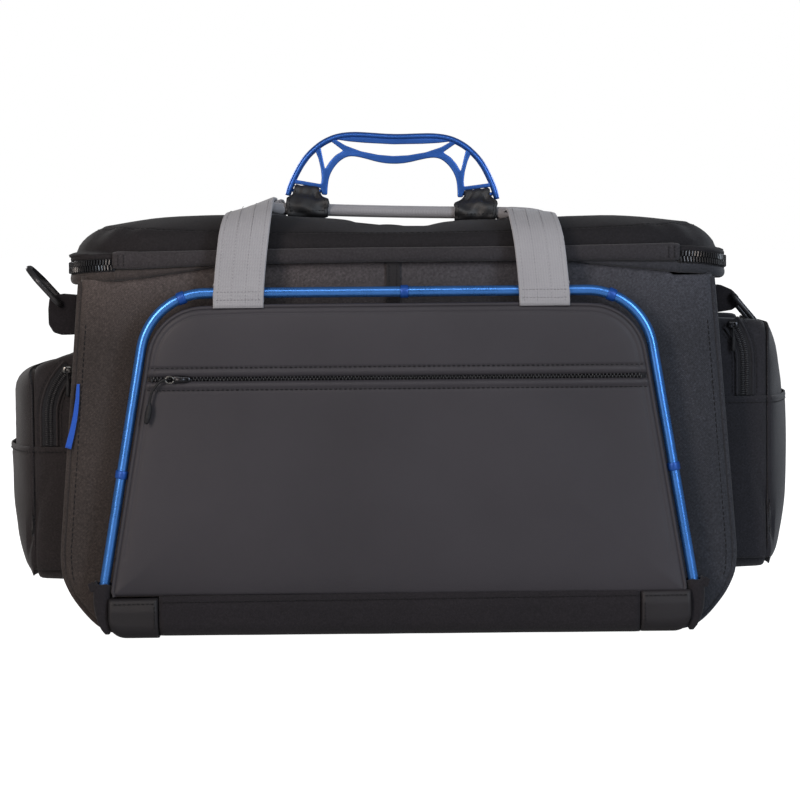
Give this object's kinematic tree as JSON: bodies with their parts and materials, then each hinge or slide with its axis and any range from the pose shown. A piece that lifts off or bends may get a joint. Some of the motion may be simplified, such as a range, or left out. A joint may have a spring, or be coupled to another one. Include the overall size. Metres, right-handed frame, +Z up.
{
  "type": "camera shoulder bag",
  "caption": "Padded camera shoulder bag with bent-tube frames, zipped front pocket, side pockets, webbing carry straps, cast grab handle and a lid that opens forward.",
  "frame": {"origin": "centre of the bounding box on the floor the bag stands on", "axes": "+X along the bag, towards its right side seen from the front; +Y to the rear; +Z up"},
  "size_m": [0.619, 0.3242, 0.3859],
  "materials": {
    "body_fabric": "woven nylon, matt",
    "pocket_laminate": "smooth coated cloth, satin",
    "boot_fabric": "coated cloth, matt",
    "zip_tape": "woven tape, matt",
    "webbing": "woven webbing, matt",
    "loop_leather": "smooth, semi-matt",
    "blue_tube": "blue anodised, satin",
    "blue_casting": "blue coated casting, satin",
    "blue_band": "satin",
    "slider_metal": "dark plated, semi-gloss",
    "pull_rubber": "matt",
    "lining": "brushed lining over foam, matt",
    "blue_ribbon": "woven ribbon",
    "ring_wire": "black, semi-gloss"
  },
  "bodies": {
    "bag": {"front_panel": "body_fabric", "rear_panel": "body_fabric", "left_side_panel": "body_fabric", "right_side_panel": "body_fabric", "base_panel": "boot_fabric", "padded_liner": "lining", "front_pocket_gusset": "body_fabric", "front_pocket_upper_panel": "pocket_laminate", "front_pocket_lower_panel": "pocket_laminate", "front_pocket_zip_tape": "zip_tape", "front_boot_band": "boot_fabric", "front_boot_patch_left": "boot_fabric", "front_boot_patch_right": "boot_fabric", "rear_boot_band": "boot_fabric", "front_frame_tube": "blue_tube", "rear_frame_tube": "blue_tube", "front_tube_socket_left": "boot_fabric", "front_tube_socket_right": "boot_fabric", "front_tube_band_1": "blue_band", "front_tube_band_2": "blue_band", "front_tube_band_3": "blue_band", "front_tube_band_4": "blue_band", "front_tube_band_5": "blue_band", "rear_tube_band_1": "blue_band", "rear_tube_band_2": "blue_band", "rear_tube_band_3": "blue_band", "rear_back_pad": "body_fabric", "left_pocket_pouch": "body_fabric", "left_pocket_slip_panel": "body_fabric", "left_pocket_zip_tape": "zip_tape", "right_pocket_pouch": "body_fabric", "right_pocket_slip_panel": "body_fabric", "right_pocket_zip_tape": "zip_tape", "left_loop_tab": "blue_ribbon", "body_zip_tape": "zip_tape", "left_ring_tab": "boot_fabric", "right_ring_tab": "boot_fabric"},
    "lid": {"lid_cover": "body_fabric", "lid_foam": "lining", "lid_zip_tape": "zip_tape", "lid_hinge_strip": "body_fabric"},
    "front_strap": {"front_carry_strap": "webbing", "leather_loop_left": "loop_leather", "leather_loop_right": "loop_leather"},
    "rear_strap": {"rear_carry_strap": "webbing"},
    "handle": {"top_handle": "blue_casting"},
    "main_slider_l": {"main_zip_slider_left": "slider_metal"},
    "main_pull_l": {"main_zip_pull_left": "pull_rubber"},
    "main_slider_r": {"main_zip_slider_right": "slider_metal"},
    "main_pull_r": {"main_zip_pull_right": "pull_rubber"},
    "front_slider": {"front_zip_slider": "slider_metal"},
    "front_pull": {"front_zip_pull": "pull_rubber"},
    "left_slider": {"left_pocket_slider": "slider_metal"},
    "left_pull": {"left_pocket_pull": "pull_rubber"},
    "right_slider": {"right_pocket_slider": "slider_metal"},
    "right_pull": {"right_pocket_pull": "pull_rubber"},
    "left_ring": {"left_ring": "ring_wire"},
    "right_ring": {"right_ring": "ring_wire"},
    "divider_l": {"divider_left": "lining"},
    "divider_r": {"divider_right": "lining"}
  },
  "joints": [
    {"name": "lid_hinge", "type": "hinge", "parent": "bag", "child": "lid", "pos_m": [-0.00195, -0.13135, 0.276], "axis": [1, 0, 0], "range_deg": [0, 90]},
    {"name": "front_strap_swing", "type": "hinge", "parent": "bag", "child": "front_strap", "pos_m": [-0.00195, -0.14635, 0.261], "axis": [1, 0, 0], "range_deg": [0, 100]},
    {"name": "rear_strap_swing", "type": "hinge", "parent": "bag", "child": "rear_strap", "pos_m": [-0.00195, 0.15365, 0.261], "axis": [1, 0, 0], "range_deg": [-180, 0], "deforming": ["rear_carry_strap"]},
    {"name": "handle_swing", "type": "hinge", "parent": "front_strap", "child": "handle", "pos_m": [-0.00605, 0.00365, 0.3415], "axis": [1, 0, 0], "range_deg": [-40, 40]},
    {"name": "main_zip_left_slide", "type": "slide", "parent": "bag", "child": "main_slider_l", "axis": [-1, 0, 0], "range_m": [0, 0.074]},
    {"name": "main_zip_left_pull", "type": "hinge", "parent": "main_slider_l", "child": "main_pull_l", "pos_m": [-0.01095, 0.14405, 0.2796], "axis": [1, 0, 0], "range_deg": [0, 100]},
    {"name": "main_zip_right_slide", "type": "slide", "parent": "bag", "child": "main_slider_r", "axis": [1, 0, 0], "range_m": [0, 0.074]},
    {"name": "main_zip_right_pull", "type": "hinge", "parent": "main_slider_r", "child": "main_pull_r", "pos_m": [0.00705, 0.14405, 0.2796], "axis": [1, 0, 0], "range_deg": [0, 100]},
    {"name": "front_zip_slide", "type": "slide", "parent": "bag", "child": "front_slider", "axis": [1, 0, 0], "range_m": [0, 0.338]},
    {"name": "front_zip_pull_swing", "type": "hinge", "parent": "front_slider", "child": "front_pull", "pos_m": [-0.17295, -0.15935, 0.1965], "axis": [0, 1, 0], "range_deg": [-72, 10]},
    {"name": "left_zip_run", "type": "hinge", "parent": "bag", "child": "left_slider", "pos_m": [-0.22145, -0.09635, 0.166], "axis": [0, 1, 0], "range_deg": [-44, 0]},
    {"name": "left_zip_pull_swing", "type": "hinge", "parent": "left_slider", "child": "left_pull", "pos_m": [-0.25886, -0.09935, 0.20212], "axis": [0, 1, 0], "range_deg": [0, 60]},
    {"name": "right_zip_run", "type": "hinge", "parent": "bag", "child": "right_slider", "pos_m": [0.21555, -0.09635, 0.203], "axis": [0, 1, 0], "range_deg": [0, 34]},
    {"name": "right_zip_pull_swing", "type": "hinge", "parent": "right_slider", "child": "right_pull", "pos_m": [0.25866, -0.09935, 0.23208], "axis": [0, 1, 0], "range_deg": [-60, 0]},
    {"name": "left_ring_swing", "type": "hinge", "parent": "bag", "child": "left_ring", "pos_m": [-0.26445, -0.05635, 0.2515], "axis": [0, 1, 0], "range_deg": [-95, 30]},
    {"name": "right_ring_swing", "type": "hinge", "parent": "bag", "child": "right_ring", "pos_m": [0.26055, -0.05635, 0.254], "axis": [0, 1, 0], "range_deg": [-128, 1]},
    {"name": "divider_left_slide", "type": "slide", "parent": "bag", "child": "divider_l", "axis": [1, 0, 0], "range_m": [-0.06, 0.055]},
    {"name": "divider_right_slide", "type": "slide", "parent": "bag", "child": "divider_r", "axis": [1, 0, 0], "range_m": [-0.055, 0.06]}
  ],
  "couplings": [
    {"joint": "front_strap_swing", "follows": "lid_hinge", "ratio": 1.1},
    {"joint": "rear_strap_swing", "follows": "lid_hinge", "ratio": -2}
  ]
}
